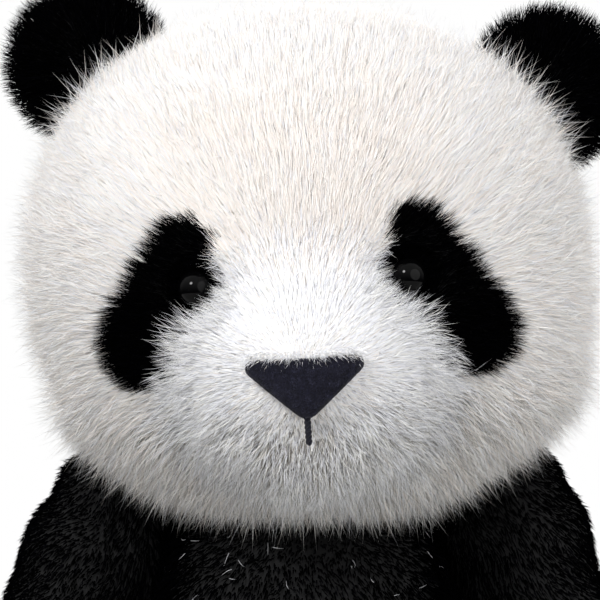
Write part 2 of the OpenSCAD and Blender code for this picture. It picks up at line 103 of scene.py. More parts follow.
# %% [markdown]
# ## Colour and nodes
# Cloth colours are written as the hex values a dyer or printer would use, and one function turns
# them to the linear numbers that light is added up in. A second small function adds a shader
# node, sets its values and links it, so each material below stays short enough to read.

# %% Two helpers for materials
def linear(hex_colour):
    values = [int(hex_colour[i:i + 2], 16) / 255 for i in (1, 3, 5)]
    return tuple(v / 12.92 if v <= 0.04045 else ((v + 0.055) / 1.055) ** 2.4 for v in values) + (1.0,)


def add_node(material, kind, settings=None, links=None):
    node = material.node_tree.nodes.new(kind)
    for key, value in (settings or {}).items():
        if hasattr(node, key) and key not in node.inputs:
            setattr(node, key, value)
        else:
            node.inputs[key].default_value = value
    for key, source in (links or {}).items():
        material.node_tree.links.new(source, node.inputs[key])
    return node


def new_material(name, colour, roughness, **settings):
    material = bpy.data.materials.new(name)
    material.use_nodes = True
    shader = material.node_tree.nodes["Principled BSDF"]
    shader.inputs["Base Color"].default_value = linear(colour)
    shader.inputs["Roughness"].default_value = roughness
    for key, value in settings.items():
        shader.inputs[key.replace("_", " ")].default_value = value
    return material, shader

# %% [markdown]
# ## Pile fibres
# Toy plush is acrylic or polyester staple, cut to one length and sheared. A single fibre is a
# smooth plastic filament, so it has a soft highlight, and the white looks deep because light
# passes from fibre to fibre. The fibres here are real tapered meshes, so a flat colour on each
# is right. Most of the variation comes from mixing several dye tones in one coat, as a mill
# does. The two darkest white tones are painted shade: a grey for the shade between fibres
# and a dark greige for the shade in the parted pile under the chin.

# %% Fibre materials
def fibre_tones(name, tones, roughness, **settings):
    return [new_material(f"{name}_{i}", tone, roughness, **settings)[0] for i, tone in enumerate(tones)]

# The last two white tones are painted shade: #d8d7df is grey fibres standing for the shade between fibres, and
# #8f8a82 is the dark shade in the parted pile under the chin.
white_dye_and_shade_fibres = fibre_tones("acrylic_fibre_white",
                           ["#fffefb", "#fdf5ee", "#f7f8fd", "#f6eee8", "#eeeef3", "#d8d7df",
                            "#8f8a82"], 0.65,
                           Specular_IOR_Level=0.12)
black_fibres = fibre_tones("acrylic_fibre_black", ["#020203", "#010101", "#030305", "#08080c"], 0.75,
                           Specular_IOR_Level=0.005)
felt_fibres = fibre_tones("wool_fibre_navy", ["#0a0a12", "#181824", "#2a2a3c", "#424256"], 0.9,
                          Specular_IOR_Level=0.05)
print("fibre tones:", len(white_dye_and_shade_fibres), "white,", len(black_fibres), "black")

# %% [markdown]
# ## The backing under the pile
# Between the fibres one looks down on packed fibre roots, a little darker than the tips, with
# fine mottling where the roots part. The mottle is one noise at the size of a tuft, about
# 1.5 mm, and the same noise drives the bump so that light and height agree.

# %% Backing materials
def pile_base(name, deep, pale, tuft_mm):
    material, shader = new_material(name, pale, 0.95)
    place = add_node(material, "ShaderNodeTexCoord")
    tufts = add_node(material, "ShaderNodeTexNoise",
                     {"Scale": 1 / (tuft_mm * MM), "Detail": 4.0, "Roughness": 0.7},
                     {"Vector": place.outputs["Object"]})
    ramp = add_node(material, "ShaderNodeValToRGB", {}, {"Fac": tufts.outputs["Fac"]})
    ramp.color_ramp.elements[0].position, ramp.color_ramp.elements[0].color = 0.3, linear(deep)
    ramp.color_ramp.elements[1].position, ramp.color_ramp.elements[1].color = 0.7, linear(pale)
    bump = add_node(material, "ShaderNodeBump", {"Strength": 0.6, "Distance": 0.8 * MM},
                    {"Height": tufts.outputs["Fac"]})
    material.node_tree.links.new(ramp.outputs["Color"], shader.inputs["Base Color"])
    material.node_tree.links.new(bump.outputs["Normal"], shader.inputs["Normal"])
    return material

white_base = pile_base("knit_backing_white", "#ebe6e3", "#fbf8f5", 1.5)
black_base = pile_base("knit_backing_black", "#030304", "#08080a", 1.5)
base_of_slot = {"white_pile": white_base, "black_pile": black_base}
fibres_of_slot = {"white_pile": white_dye_and_shade_fibres, "black_pile": black_fibres, "nose_felt": felt_fibres}

# %% [markdown]
# ## Turning solids into cloth
# A stuffed cover has no sharp creases: the filling rounds every seam. A fine ball of triangles
# is drawn in onto the design's covers, as if vacuum-packed, and then relaxed so that corners
# soften. Every triangle remembers which cover it landed on, and so where the seams run.

# %% Shrinking a ball onto the covers
def covers_tree(nodes):
    points, faces, owner = [], [], []
    for node in nodes:
        mesh = frame["nodes"][node].data
        start = len(points)
        points += [v.co[:] for v in mesh.vertices]
        faces += [[start + i for i in p.vertices] for p in mesh.polygons]
        owner += [node] * len(mesh.polygons)
    return BVHTree.FromPolygons(points, faces), owner


def ball(levels):
    shape = bmesh.new()
    bmesh.ops.create_icosphere(shape, subdivisions=levels, radius=1)
    points = np.array([v.co[:] for v in shape.verts])
    faces = np.array([[v.index for v in f.verts] for f in shape.faces])
    shape.free()
    return points, faces


def normals_of(points, faces):
    a, b, c = (points[faces[:, i]] for i in range(3))
    flat = np.cross(b - a, c - a)
    smooth = np.zeros_like(points)
    for i in range(3):
        np.add.at(smooth, faces[:, i], flat)
    return smooth / np.maximum(np.linalg.norm(smooth, axis=1, keepdims=True), 1e-12)


def relax(points, faces, times, share=0.5):
    edges = np.unique(np.sort(np.vstack([faces[:, [0, 1]], faces[:, [1, 2]], faces[:, [2, 0]]])), axis=0)
    count = np.bincount(edges.ravel(), minlength=len(points))[:, None]
    for _ in range(times):
        total = np.zeros_like(points)
        np.add.at(total, edges[:, 0], points[edges[:, 1]])
        np.add.at(total, edges[:, 1], points[edges[:, 0]])
        points = points + share * (total / count - points)
    return points


def shrink_onto(nodes, middle, levels, stretch=(1, 1, 1)):
    tree, owner = covers_tree(nodes)
    rays, faces = ball(levels)
    points = np.zeros_like(rays)
    reach = 0.4
    for i, ray in enumerate(rays * np.array(stretch)):
        out = Vector(ray).normalized()
        hit = tree.ray_cast(Vector(middle) + out * reach, -out)[0]
        points[i] = hit[:] if hit else middle
    return points, faces, tree, owner


def covers_under(points, faces, tree, owner):
    mids = points[faces].mean(axis=1)
    return np.array([owner[tree.find_nearest(Vector(m))[2]] for m in mids])

# %% [markdown]
# ## From triangles to Blender meshes
# Hundreds of thousands of fibres are too many to add one by one, so meshes are filled from
# arrays in one go. The cloth panels are closed sheets about 1.5 mm thick with a rim, as the cut
# cloth is.

# %% Making mesh objects from arrays
def mesh_object(name, points, faces, materials, tone=None, facing=None):
    mesh = bpy.data.meshes.new(name)
    mesh.vertices.add(len(points))
    mesh.vertices.foreach_set("co", points.astype(np.float32).ravel())
    mesh.loops.add(faces.size)
    mesh.loops.foreach_set("vertex_index", faces.astype(np.int32).ravel())
    mesh.polygons.add(len(faces))
    mesh.polygons.foreach_set("loop_start", np.arange(0, faces.size, faces.shape[1], dtype=np.int32))
    mesh.polygons.foreach_set("use_smooth", np.ones(len(faces), dtype=bool))
    for material in materials:
        mesh.materials.append(material)
    if tone is not None:
        mesh.polygons.foreach_set("material_index", tone.astype(np.int32))
    mesh.update(calc_edges=True)
    if facing is not None:
        mesh.normals_split_custom_set_from_vertices(facing.astype(np.float32))
    thing = bpy.data.objects.new(name, mesh)
    bpy.context.scene.collection.objects.link(thing)
    return thing


def cloth_sheet(points, faces, thickness):
    used, faces = np.unique(faces, return_inverse=True)
    faces = faces.reshape(-1, 3)
    outer = points[used]
    inner = outer - normals_of(outer, faces) * thickness
    n = len(outer)
    edges = np.vstack([faces[:, [0, 1]], faces[:, [1, 2]], faces[:, [2, 0]]])
    _, where, times = np.unique(np.sort(edges), axis=0, return_index=True, return_counts=True)
    rim = edges[where[times == 1]]
    sides = rim[:, [1, 0]]
    rim_faces = np.vstack([np.column_stack([sides[:, 0], sides[:, 1], sides[:, 1] + n]),
                           np.column_stack([sides[:, 0], sides[:, 1] + n, sides[:, 0] + n])])
    return np.vstack([outer, inner]), np.vstack([faces, faces[:, ::-1] + n, rim_faces])


def cloth_panels(points, faces, under, thickness=1.5 * MM):
    for node in sorted(set(under)):
        sheet, sheet_faces = cloth_sheet(points, faces[under == node], thickness)
        panel = mesh_object(node + "_cloth", sheet, sheet_faces, [base_of_slot[slot_of_node[node]]])
        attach(panel, body_of_node[node])
        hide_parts(node)

# %% [markdown]
# ## Planting fibres
# Fibres are planted at random over the cloth, so many to the square millimetre. Each is a closed
# three-sided spike with two bends: it starts nearly upright in the pile and its tip follows the
# nap, the way the coat was brushed. Neighbouring fibres lean together into small locks.

# %% Sampling roots on the cloth
def plant(points, faces, per_mm2, dice):
    a, b, c = (points[faces[:, i]] for i in range(3))
    area = np.linalg.norm(np.cross(b - a, c - a), axis=1) / 2 / MM ** 2
    wanted = area * per_mm2
    count = np.floor(wanted + dice.random(len(faces))).astype(int)
    face = np.repeat(np.arange(len(faces)), count)
    u, v = dice.random(len(face)), dice.random(len(face))
    flip = u + v > 1
    u[flip], v[flip] = 1 - u[flip], 1 - v[flip]
    normals = normals_of(points, faces)
    corner_n = [normals[faces[face, i]] for i in range(3)]
    roots = a[face] + (b - a)[face] * u[:, None] + (c - a)[face] * v[:, None]
    up = corner_n[0] * (1 - u - v)[:, None] + corner_n[1] * u[:, None] + corner_n[2] * v[:, None]
    return roots, unit(up), face


def unit(v):
    return v / np.maximum(np.linalg.norm(v, axis=-1, keepdims=True), 1e-9)


def along(v, normal):
    return v - normal * (v * normal).sum(axis=1, keepdims=True)


def smooth(low, high, value):
    t = np.clip((value - low) / (high - low), 0, 1)
    return t * t * (3 - 2 * t)


def drift(points, size_mm, seed):
    dice = np.random.default_rng(seed)
    total = np.zeros_like(points)
    for k in range(6):
        wave = unit(dice.normal(size=3)) * 2 * math.pi / (size_mm * MM * dice.uniform(0.6, 1.6))
        total += np.sin(points @ wave + dice.uniform(0, 6.28))[:, None] * unit(dice.normal(size=3))
    return total / 2.4

# %% Spikes from roots
def locks(roots, every, dice):
    heads = dice.choice(len(roots), max(1, len(roots) // every), replace=False)
    tree = KDTree(len(heads))
    for i, h in enumerate(heads):
        tree.insert(roots[h], i)
    tree.balance()
    return heads[[tree.find(r)[1] for r in roots]]


def spikes(roots, start, end, length, width, side_seed, rings=3):
    dice = np.random.default_rng(side_seed)
    steps = np.linspace(0, 1, rings + 1)
    taper = np.array([1.0, 0.85, 0.55, 0.0]) if rings == 3 else np.array([1.0, 0.7, 0.0])
    across = unit(np.cross(unit(start + end), dice.normal(size=roots.shape)))
    other = np.cross(unit(start + end), across)
    corners_of = [np.cos(a) * across + np.sin(a) * other for a in (0, 2.0944, 4.18879)]
    rows = []
    for t, thin in zip(steps, taper):
        spine = roots + (start * (t - 0.5 * t * t) + end * (0.5 * t * t)) * length[:, None]
        if thin > 0:
            rows += [spine + c * (width * thin)[:, None] for c in corners_of]
        else:
            rows.append(spine)
    points = np.stack(rows, axis=1)
    faces = [(0, 2, 1)]
    for r in range(rings - 1):
        for i in range(3):
            p, q = 3 * r + i, 3 * r + (i + 1) % 3
            faces += [(p, q, q + 3), (p, q + 3, p + 3)]
    tip, last = 3 * rings, 3 * (rings - 1)
    faces += [(last + i, last + (i + 1) % 3, tip) for i in range(3)]
    return points, np.array(faces)


def comb(roots, up, nap, lift, stray, lock_size, lock_lean, dice):
    heads = locks(roots, lock_size, dice)
    wave = along(drift(roots, 26, 5), up) * 0.25
    lean = (dice.normal(size=roots.shape) * lock_lean)[heads]
    loose = dice.normal(size=roots.shape) * stray
    start = unit(up * lift[0] + nap * (1 - lift[0]) + (loose + lean) * 0.5)
    end = unit(up * lift[1] + nap * (1 - lift[1]) + wave + loose + lean)
    return start, end


def grow(name, body, slot, roots, start, end, length, width, tone, dice, rings=3, up=None):
    points, faces = spikes(roots, start, end, length, width, dice.integers(1 << 30), rings)
    tones = fibres_of_slot[slot]
    points[..., 2] = np.maximum(points[..., 2], 0.4 * MM)
    most = 195000 // len(faces)
    for part, first in enumerate(range(0, len(roots), most)):
        block = points[first:first + most]
        n = len(block)
        all_faces = (faces[None] + (np.arange(n) * points.shape[1])[:, None, None]).reshape(-1, 3)
        facing = None if up is None else np.repeat(up[first:first + most], points.shape[1], axis=0)
        pile = mesh_object(f"{name}_{part + 1}", block.reshape(-1, 3), all_faces, tones,
                           np.repeat(tone[first:first + most], len(faces)), facing)
        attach(pile, body)
    print(f"{name}: {len(roots)} fibres, {len(roots) * len(faces)} triangles")
    return len(roots) * len(faces)


def pick_tones(chances, dice):
    steps = np.cumsum(chances, axis=-1)
    return (dice.random((len(steps), 1)) * steps[:, -1:] > steps).sum(axis=1)

# %% [markdown]
# ## The head's cloth
# The head is a ball drawn out sideways, with the muzzle set in. Relaxing the drawn-in ball fills
# the crease round the muzzle, as filling does.

# %% Head cloth
head_covers = ["head_gusset", "head_side_left", "head_side_right", "chin_panel", "muzzle_cover",
               "eye_patch_left", "eye_patch_right"]
head_skin, head_faces, head_tree, head_owner = shrink_onto(head_covers, head_mid, 6, (1.1, 1, 1))
head_under = covers_under(head_skin, head_faces, head_tree, head_owner)
EYE_SURROUND = 5.5 * MM
for s in eye_mid:
    by_eye = np.linalg.norm(head_skin[head_faces].mean(axis=1) - eye_mid[s], axis=1)
    head_under[by_eye < eye_r + EYE_SURROUND] = "eye_patch_" + s
head_skin = relax(head_skin, head_faces, 10)
cheek = (head_skin - head_mid) / MM
cheek_u, cheek_w = cheek @ face_right, cheek @ face_up
CHEEK_BELOW, CHEEK_TALL = 38, 26
LEFT_CHEEK, RIGHT_CHEEK = 5.5, 1.5
full = np.exp(-((cheek_w + CHEEK_BELOW) / CHEEK_TALL) ** 2) * smooth(40, 75, np.abs(cheek_u))
full = full * (1 - smooth(10, 50, cheek[:, 1])) * np.where(cheek_u > 0, LEFT_CHEEK, RIGHT_CHEEK) * MM
head_skin = head_skin + normals_of(head_skin, head_faces) * full[:, None]
HEAD_PILE_SINK = 2 * MM
head_skin = head_skin - normals_of(head_skin, head_faces) * HEAD_PILE_SINK
cloth_panels(head_skin, head_faces, head_under)
print("head cloth", len(head_faces), "triangles", {n: int((head_under == n).sum()) for n in head_covers})

# %% [markdown]
# ## The nap of the head
# A toymaker brushes the face outwards from the bridge of the nose: up over the brow, out across
# the cheeks and down under the chin. So white fibres from the bridge lie over the inner edge of
# each black eye patch, and the black ones lie over the white at its outer edge. Behind the ears
# the nap turns down to the nape.

# %% Head pile
def near(tree, points):
    return np.array([tree.find(p)[2] for p in points]) / MM


patch_tree = {}
for s in ("left", "right"):
    corners_in = np.unique(head_faces[head_under == "eye_patch_" + s])
    patch_tree[s] = KDTree(len(corners_in))
    for i in corners_in:
        patch_tree[s].insert(head_skin[i], int(i))
    patch_tree[s].balance()


ear_mid = {s: sum(corners("ear_front_" + s, "ear_back_" + s)) / 2 for s in ("left", "right")}


def face_place(roots):
    p = (roots - head_mid) / MM
    return p @ face_right, p[:, 1], p @ face_up


def off_face_trim(roots):
    across = np.abs((roots - nose_mid) @ face_right)
    below = (nose_top - roots @ face_up) / nose_h
    front = roots[:, 1] < muzzle_mid[1]
    on_nose = front & (below > 0.06) & (below < 0.97) & (across < nose_half_w * (1.0 - 0.92 * below) * 0.96)
    on_line = front & (below > 0.5) & (roots @ face_up > mouth_end) & (across < mouth_half_w * 1.1)
    on_eye = np.zeros(len(roots), bool)
    for s in eye_mid:
        on_eye |= np.linalg.norm(roots - eye_mid[s], axis=1) < eye_r * 0.95
    at_neck = (roots[:, 2] < neck_z + 5 * MM) & (np.hypot(roots[:, 0], roots[:, 1] - neck_y) < 32 * MM)
    return ~(on_nose | on_line | on_eye | at_neck)


def by_an_eye(roots):
    return np.min([np.linalg.norm(roots - m, axis=1) for m in eye_mid.values()], axis=0) < eye_r + 5 * MM


def face_nap(roots, up):
    u, y, w = face_place(roots)
    centre = nose_mid + face_up * 4 * MM
    out = unit(along(roots - centre, up))
    nape = unit(along(np.tile([0.0, 0.2, -1.0], (len(roots), 1)), up))
    behind = smooth(15, 70, y)[:, None]
    droop = (0.35 * smooth(40, 80, np.abs(u)) * smooth(10, -20, w) + 0.5 * smooth(30, 65, -w))[:, None]
    return unit(along(out * (1 - behind) + nape * behind + np.array([0, 0, -1.0]) * droop, up))


def face_length(roots):
    u, y, w = face_place(roots)
    from_nose = np.linalg.norm(roots - nose_mid, axis=1) / MM
    below = smooth(0, 12, -(roots - nose_mid) @ face_up / MM)
    top = 3.2 + 4.5 * smooth(12, 42, from_nose) + 3 * smooth(42, 90, from_nose)
    chin = 3.5 + 8 * smooth(14, 34, from_nose) + 6 * smooth(34, 60, from_nose)
    by_ear = np.min([np.linalg.norm(roots - m, axis=1) for m in ear_mid.values()], axis=0) / MM
    sides = 2 * smooth(50, 85, np.abs(u)) * smooth(-80, -20, y) + 5 * (1 - smooth(28, 42, by_ear))
    return (top * (1 - below) + chin * below + sides) * MM


def white_dye_and_shade_chances(roots):
    u, y, w = face_place(roots)
    ones = np.ones(len(roots))
    brow = smooth(-8, 6, w) * (1 - smooth(40, 75, w)) * (1 - smooth(25, 60, np.abs(u))) * (y < 0)
    chin = smooth(-36, -60, w) * (y < 20)
    muzzle = 1 - smooth(44, 52, np.linalg.norm(roots - muzzle_mid, axis=1) / MM)
    # The last two shares are painted shade: grey fibres for the shade between fibres, a few more on the muzzle,
    # and dark greige fibres for the shade in the parted pile under the chin.
    return np.column_stack([0.36 * ones - 0.1 * brow, 0.22 + 0.35 * brow - 0.2 * muzzle,
                            0.2 - 0.15 * brow + 0.35 * muzzle, 0.12 + 0.15 * brow - 0.1 * muzzle,
                            0.08 * ones, 0.02 + 0.02 * muzzle, 0.9 * chin])


def trim_at_patches(roots, start, end, length, dice):
    tips = roots + (start + end) / 2 * length[:, None]
    gap = np.minimum(near(patch_tree["left"], tips), near(patch_tree["right"], tips))
    beside_muzzle = smooth(4, -14, (roots - head_mid) @ face_up / MM)
    over = (gap < 2.2) & (dice.random(len(roots)) > 0.25 + 0.5 * beside_muzzle)
    return np.where(over | by_an_eye(tips), length * 0.4, length)


# %% Planting the undercoat
pile_dice = np.random.default_rng(11)
face_y = (head_skin[head_faces].mean(axis=1) - head_mid)[:, 1] / MM
is_patch = np.char.startswith(head_under, "eye_patch")
total = 0
face_w = (head_skin[head_faces].mean(axis=1) - head_mid) @ face_up / MM
per_mm2 = np.where(face_y < 15, 2.2 + 0.8 * (smooth(-40, -25, face_w) * (face_y < -20)), 0.65)
roots, up, face = plant(head_skin, head_faces, per_mm2, pile_dice)
keep = off_face_trim(roots) & ~is_patch[face] & ~by_an_eye(roots)
roots, up = roots[keep], up[keep]
length = face_length(roots) * pile_dice.uniform(0.7, 1.1, len(roots))
u, y, w = face_place(roots)
smoother = smooth(-60, -30, w)[:, None]
start, end = comb(roots, up, face_nap(roots, up), (0.5, 0.1), 0.09, 24, 0.05, pile_dice)
rough_start, rough_end = comb(roots, up, face_nap(roots, up), (0.6, 0.2), 0.16, 26, 0.28, pile_dice)
start = unit(start * smoother + rough_start * (1 - smoother))
end = unit(end * smoother + rough_end * (1 - smoother))
length = trim_at_patches(roots, start, end, length, pile_dice)
width = np.where(roots[:, 1] < head_mid[1] + 15 * MM, 0.1, 0.22) * MM
width = width * (1 + 0.3 * (1 - smooth(44, 52, np.linalg.norm(roots - muzzle_mid, axis=1) / MM)))
tone = pick_tones(white_dye_and_shade_chances(roots), pile_dice)
even = smoother[:, 0] > pile_dice.random(len(roots))
for label, part, facing in (("head_undercoat", even, up[even]), ("chin_undercoat", ~even, None)):
    total += grow(label, "head", "white_pile", roots[part], start[part], end[part], length[part],
                  width[part], tone[part], pile_dice, rings=2, up=facing)

# %% [markdown]
# ## Guard hairs
# Long pile isn't cut dead level: a few fibres stand out past the rest. They are longest and most
# open at the jaw and at the sides of the head, where they give the soft outline.

# %% Guard hairs of the face
u, y, w = face_place(head_skin[head_faces].mean(axis=1))
per_mm2 = (face_y < 30) * (0.15 + 1.1 * smooth(30, 58, -w) + 0.45 * smooth(55, 80, np.abs(u)))
roots, up, face = plant(head_skin, head_faces, per_mm2, pile_dice)
keep = off_face_trim(roots) & ~is_patch[face] & ~by_an_eye(roots)
roots, up = roots[keep], up[keep]
length = face_length(roots) * pile_dice.uniform(0.9, 1.3, len(roots))
start, end = comb(roots, up, face_nap(roots, up), (0.6, 0.25), 0.3, 6, 0.1, pile_dice)
length = trim_at_patches(roots, start, end, length, pile_dice)
total += grow("head_guard_hairs", "head", "white_pile", roots, start, end, length,
              np.full(len(roots), 0.11 * MM), pick_tones(white_dye_and_shade_chances(roots)[:, :6], pile_dice),
              pile_dice, rings=2)

# %% [markdown]
# ## Eye patches
# The patches are black pile sewn into the white head, a little shorter than the white. Close to
# an eye the pile turns in towards it, because the safety eye is pressed down into it.

# %% Black pile of the eye patches
black_chances = np.array([0.4, 0.35, 0.2, 0.05])
for s in ("left", "right"):
    mine = head_faces[head_under == "eye_patch_" + s]
    roots, up, face = plant(head_skin, mine, 3.4, pile_dice)
    keep = off_face_trim(roots)
    roots, up = roots[keep], up[keep]
    eye_gap = np.linalg.norm(roots - eye_mid[s], axis=1)
    by_eye = (1 - smooth(eye_r + 2 * MM, eye_r + 6 * MM, eye_gap))[:, None]
    nap = unit(face_nap(roots, up) * (1 - by_eye) + unit(along(eye_mid[s] - roots, up)) * by_eye * 0.8)
    length = pile_dice.uniform(5.5, 8.5, len(roots)) * MM * (1 - 0.25 * by_eye[:, 0])
    start, end = comb(roots, up, nap, (0.6, 0.3), 0.14, 20, 0.06, pile_dice)
    tone = pick_tones(np.tile(black_chances, (len(roots), 1)), pile_dice)
    total += grow("eye_patch_pile_" + s, "head", "black_pile", roots, start, end, length,
                  np.full(len(roots), 0.12 * MM), tone, pile_dice)

# %% [markdown]
# ## Ears
# An ear is two black panels sewn face to face and turned out, thin at the edge and fuller in the
# middle. The same coat function dresses it that later dresses the body and the limbs.

# %% One coat for plain pieces
def simple_coat(name, body, slot, skin, faces, keep, nap_of, length_mm, per_mm2, width_mm, seed,
                lift=(0.55, 0.18), stray=0.14, rings=2):
    dice = np.random.default_rng(seed)
    roots, up, face = plant(skin, faces, per_mm2, dice)
    good = keep(roots, face)
    roots, up, face = roots[good], up[good], face[good]
    nap = unit(along(nap_of(roots), up))
    length = length_mm(roots) * MM * dice.uniform(0.75, 1.1, len(roots))
    start, end = comb(roots, up, nap, lift, stray, 16, 0.1, dice)
    width = np.full(len(roots), width_mm * MM)
    # The last white share is the grey painted-shade tone, for the shade between fibres.
    chances = [0.3, 0.25, 0.2, 0.15, 0.08, 0.02] if slot == "white_pile" else black_chances
    tone = pick_tones(np.tile(chances, (len(roots), 1)), dice)
    return grow(name, body, slot, roots, start, end, length, width, tone, dice, rings)

# %% Ear cloth and pile
for s, sign in (("left", 1), ("right", -1)):
    nodes = ["ear_front_" + s, "ear_back_" + s]
    low, high = corners(*nodes)
    middle = (low + high) / 2
    skin, faces, tree, owner = shrink_onto(nodes, middle, 5, (1, 0.4, 1))
    under = covers_under(skin, faces, tree, owner)
    skin = relax(skin, faces, 6)
    skin = skin - normals_of(skin, faces) * 1.5 * MM
    cloth_panels(skin, faces, under)
    away = unit(middle - head_mid)
    total += simple_coat(f"ear_pile_{s}", "head", "black_pile", skin, faces,
                         lambda r, f: np.linalg.norm(r - head_mid, axis=1) > head_r * 0.99,
                         lambda r: (r - middle) + away * 0.01, lambda r: np.full(len(r), 9.5),
                         2.6, 0.14, 31 + sign, rings=3)

# %% [markdown]
# ## The torso
# Black over the shoulders and white below, with the pile brushed down. The cloth stays bare
# where a joint presses it against an arm, a leg or the head.

# %% Torso cloth and pile
torso_covers = ["yoke_front", "yoke_back", "belly_panel", "back_left", "back_right", "seat_panel"]
torso_low, torso_high = corners(*torso_covers)
torso_mid = np.array([0, (torso_low[1] + torso_high[1]) / 2, torso_high[2] * 0.5])
torso_skin, torso_faces, torso_tree, torso_owner = shrink_onto(torso_covers, torso_mid, 6, (1, 1, 1.4))
torso_under = covers_under(torso_skin, torso_faces, torso_tree, torso_owner)
torso_skin = relax(torso_skin, torso_faces, 8)
torso_skin = torso_skin - normals_of(torso_skin, torso_faces) * 1.5 * MM
cloth_panels(torso_skin, torso_faces, torso_under)

joint_place = {j["name"]: (np.array(j["pos_m"]), unit(np.array(j["axis"], float))) for j in frame["joints"]}


def off_seats(roots):
    clear = np.ones(len(roots), bool)
    for name, (place, axis) in joint_place.items():
        radius = 26 if "hip" in name else 24
        gap = roots - place
        across = np.abs(gap @ axis)
        around = np.linalg.norm(gap - np.outer(gap @ axis, axis), axis=1)
        clear &= ~((across < 6 * MM) & (around < radius * MM))
    return clear


down = lambda r: np.column_stack([r[:, 0] * 0.4, (r[:, 1] - torso_mid[1]) * 0.4, np.full(len(r), -0.1)])
def torso_length(r, slot):
    beside_arm = smooth(34, 48, np.abs(r[:, 0]) / MM)
    return 4.5 + 6 * beside_arm if slot == "black_pile" else np.full(len(r), 10.0)


for label, slot in (("yoke_pile", "black_pile"), ("belly_pile", "white_pile")):
    mine = np.array([slot_of_node[n] == slot for n in torso_under])
    total += simple_coat(label, "torso", slot, torso_skin, torso_faces[mine],
                         lambda r, f: off_seats(r) & (r[:, 2] > 3 * MM), down,
                         lambda r: torso_length(r, slot), 0.68, 0.28, 41 + len(label))

# %% [markdown]
# ## Arms and legs
# Each limb is an outer and an inner panel, stuffed firm, with short black pile brushed towards
# the paw or foot. The cloth round the joint's disc is pressed flat against the torso, so it
# stays bare. The shoulders are fuller than the design's plain pill, as stuffing crowds there.

# %% Arm and leg cloth and pile
def off_seat(roots, place, out):
    gap = roots - place
    around = np.linalg.norm(gap - np.outer(gap @ out, out), axis=1)
    return (gap @ out > 3 * MM) | (around > 29 * MM)


arm_seat = corners("arm_outer_left")[0][0] - joint_place["shoulder_left"][0][0]
print("arm axis from its joint", arm_seat)
for s, sign in (("left", 1), ("right", -1)):
    for kind, pad_kind, joint in (("arm", "paw_pad_", "shoulder_" + s), ("leg", "sole_pad_", "hip_" + s)):
        nodes = [f"{kind}_outer_{s}", f"{kind}_inner_{s}", pad_kind + s]
        low, high = corners(*nodes)
        middle = (low + high) / 2
        stretch = (1, 1, 1.6) if kind == "arm" else (1, 1.6, 1)
        skin, faces, tree, owner = shrink_onto(nodes, middle, 5, stretch)
        under = covers_under(skin, faces, tree, owner)
        skin = relax(skin, faces, 5)
        if kind == "arm":
            rise = unit(skin - (joint_place[joint][0] + [sign * arm_seat, 0, 0]))
            outward = smooth(0.0, 0.6, sign * rise[:, 0])
            bulge = (12 * smooth(0.7, 1.0, rise[:, 2]) + 4 * (sign > 0) * smooth(0.2, 0.7, rise[:, 2])
                     + outward * (5 + 4 * smooth(0.2, -0.3, rise[:, 2])))
            skin = skin + rise * (bulge * MM)[:, None]
        skin = skin - normals_of(skin, faces) * 1.5 * MM
        cloth = np.array([not n.startswith(("paw_pad", "sole_pad")) for n in under])
        cloth_panels(skin, faces[cloth], under[cloth])
        place, axis = joint_place[joint]
        pad_low, pad_high = corners(nodes[2])
        end = (pad_low + pad_high) / 2
        way = unit(end - place)
        out = axis if (axis[0] > 0) == (sign > 0) else -axis
        total += simple_coat(f"{kind}_pile_{s}", f"{kind}_{s}", "black_pile", skin, faces[cloth],
                             lambda r, f: off_seat(r, place, out) & (r[:, 2] > 2 * MM),
                             lambda r: np.tile(way, (len(r), 1)) + 6 * (r - middle),
                             lambda r: 4.5 + 6 * smooth(0.2, -0.5, unit(r - middle) @ out), 0.78, 0.26,
                             51 + sign + len(kind))

# %% [markdown]
# ## Felt, suede, thread and tape
# Felt, suede and filling are all short fibres lying every way, so one function makes them: a
# twisted noise at the size of the fibre mats drives both colour and bump. Tape is woven, so two
# sets of bands cross. Moulded plastic has only a faint grain in its gloss.

# %% Materials of the small pieces
BANDS_PER_THREAD = 0.314
def woolly(name, deep, pale, fibre_mm, rough, bump_mm, pale_share=0.62):
    material, shader = new_material(name, pale, rough, Sheen_Weight=0.12, Specular_IOR_Level=0.12)
    place = add_node(material, "ShaderNodeTexCoord")
    fibres = add_node(material, "ShaderNodeTexNoise",
                      {"Scale": 1 / (fibre_mm * MM), "Detail": 5.0, "Roughness": 0.75, "Distortion": 1.2},
                      {"Vector": place.outputs["Object"]})
    ramp = add_node(material, "ShaderNodeValToRGB", {}, {"Fac": fibres.outputs["Fac"]})
    ramp.color_ramp.elements[0].position, ramp.color_ramp.elements[0].color = 0.42, linear(deep)
    ramp.color_ramp.elements[1].position, ramp.color_ramp.elements[1].color = pale_share + 0.1, linear(pale)
    bump = add_node(material, "ShaderNodeBump", {"Strength": 0.7, "Distance": bump_mm * MM},
                    {"Height": fibres.outputs["Fac"]})
    material.node_tree.links.new(ramp.outputs["Color"], shader.inputs["Base Color"])
    material.node_tree.links.new(bump.outputs["Normal"], shader.inputs["Normal"])
    return material


felt = woolly("wool_felt_navy", "#04040a", "#262638", 0.45, 0.95, 0.5)
thread = woolly("cotton_thread_navy", "#101018", "#2a2a36", 0.3, 0.8, 0.1)
suede = woolly("suede_charcoal", "#1d1b1e", "#37333a", 0.9, 0.9, 0.2)
fill = woolly("polyester_fibre_fill", "#dcdcd8", "#fafaf8", 3.0, 0.95, 1.5)


